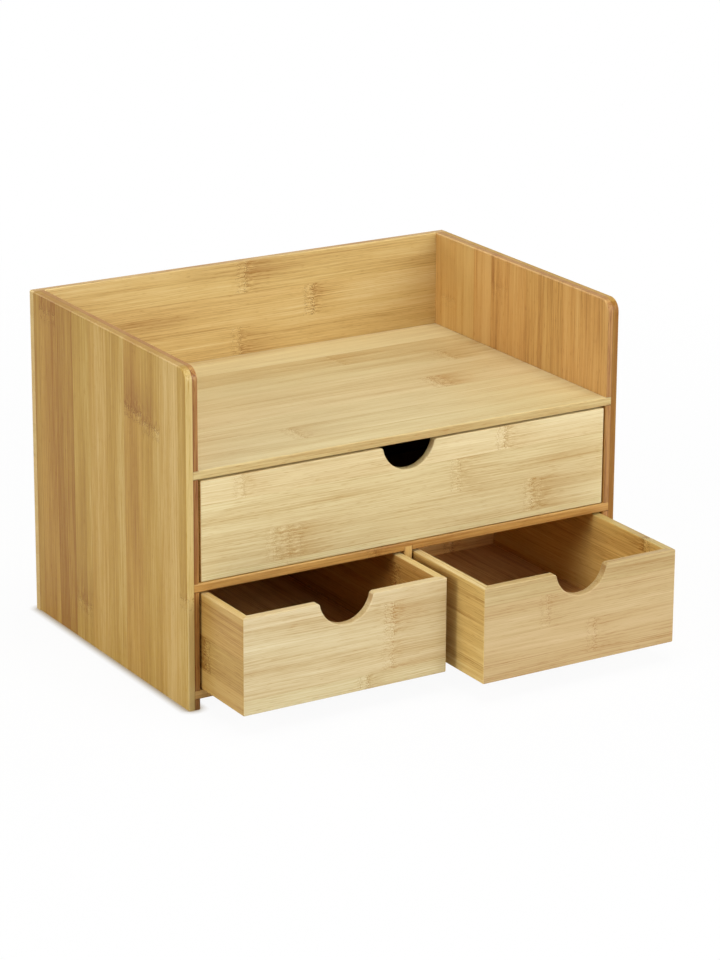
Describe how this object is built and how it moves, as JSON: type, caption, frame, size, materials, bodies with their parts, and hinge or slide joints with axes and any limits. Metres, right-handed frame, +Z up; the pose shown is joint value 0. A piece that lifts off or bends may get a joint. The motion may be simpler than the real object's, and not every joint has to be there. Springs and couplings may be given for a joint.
{
  "type": "desktop drawer organizer",
  "caption": "Low bamboo desk organizer: an open tray on top with side and back walls, a wide drawer below it and a pair of small drawers beneath, each with a round finger notch.",
  "frame": {"origin": "on the desk, at the middle of the case's rear face", "axes": "+X to the right seen from the front, +Y to the rear, +Z up; the drawers open towards -Y"},
  "size_m": [0.33, 0.3047, 0.228],
  "materials": {
    "side_panels": "bamboo ply, upright grain, clear satin lacquer, eased arrises",
    "back_panel": "bamboo ply, level grain, clear satin lacquer, eased arrises",
    "shelves": "bamboo ply, level grain, clear satin lacquer, eased front arrises",
    "drawer_fronts": "pale bamboo, level grain, clear satin lacquer, eased arrises",
    "drawer_sides": "bamboo, level grain, clear satin lacquer, eased arrises",
    "drawer_bottoms": "thin bamboo ply, lengthwise grain, clear satin lacquer"
  },
  "bodies": {
    "case": {"left_side_panel": "side_panels", "right_side_panel": "side_panels", "back_panel": "back_panel", "top_shelf": "shelves", "middle_shelf": "shelves", "bottom_shelf": "shelves", "drawer_divider": "shelves"},
    "wide_drawer": {"wide_drawer_front": "drawer_fronts", "wide_drawer_left_side": "drawer_sides", "wide_drawer_right_side": "drawer_sides", "wide_drawer_back": "drawer_sides", "wide_drawer_bottom": "drawer_bottoms"},
    "left_drawer": {"left_drawer_front": "drawer_fronts", "left_drawer_left_side": "drawer_sides", "left_drawer_right_side": "drawer_sides", "left_drawer_back": "drawer_sides", "left_drawer_bottom": "drawer_bottoms"},
    "right_drawer": {"right_drawer_front": "drawer_fronts", "right_drawer_left_side": "drawer_sides", "right_drawer_right_side": "drawer_sides", "right_drawer_back": "drawer_sides", "right_drawer_bottom": "drawer_bottoms"}
  },
  "joints": [
    {"name": "wide_drawer_slide", "type": "slide", "parent": "case", "child": "wide_drawer", "axis": [0, -1, 0], "range_m": [0, 0.16]},
    {"name": "left_drawer_slide", "type": "slide", "parent": "case", "child": "left_drawer", "axis": [0, -1, 0], "range_m": [-0.054, 0.106]},
    {"name": "right_drawer_slide", "type": "slide", "parent": "case", "child": "right_drawer", "axis": [0, -1, 0], "range_m": [-0.085, 0.075]}
  ]
}
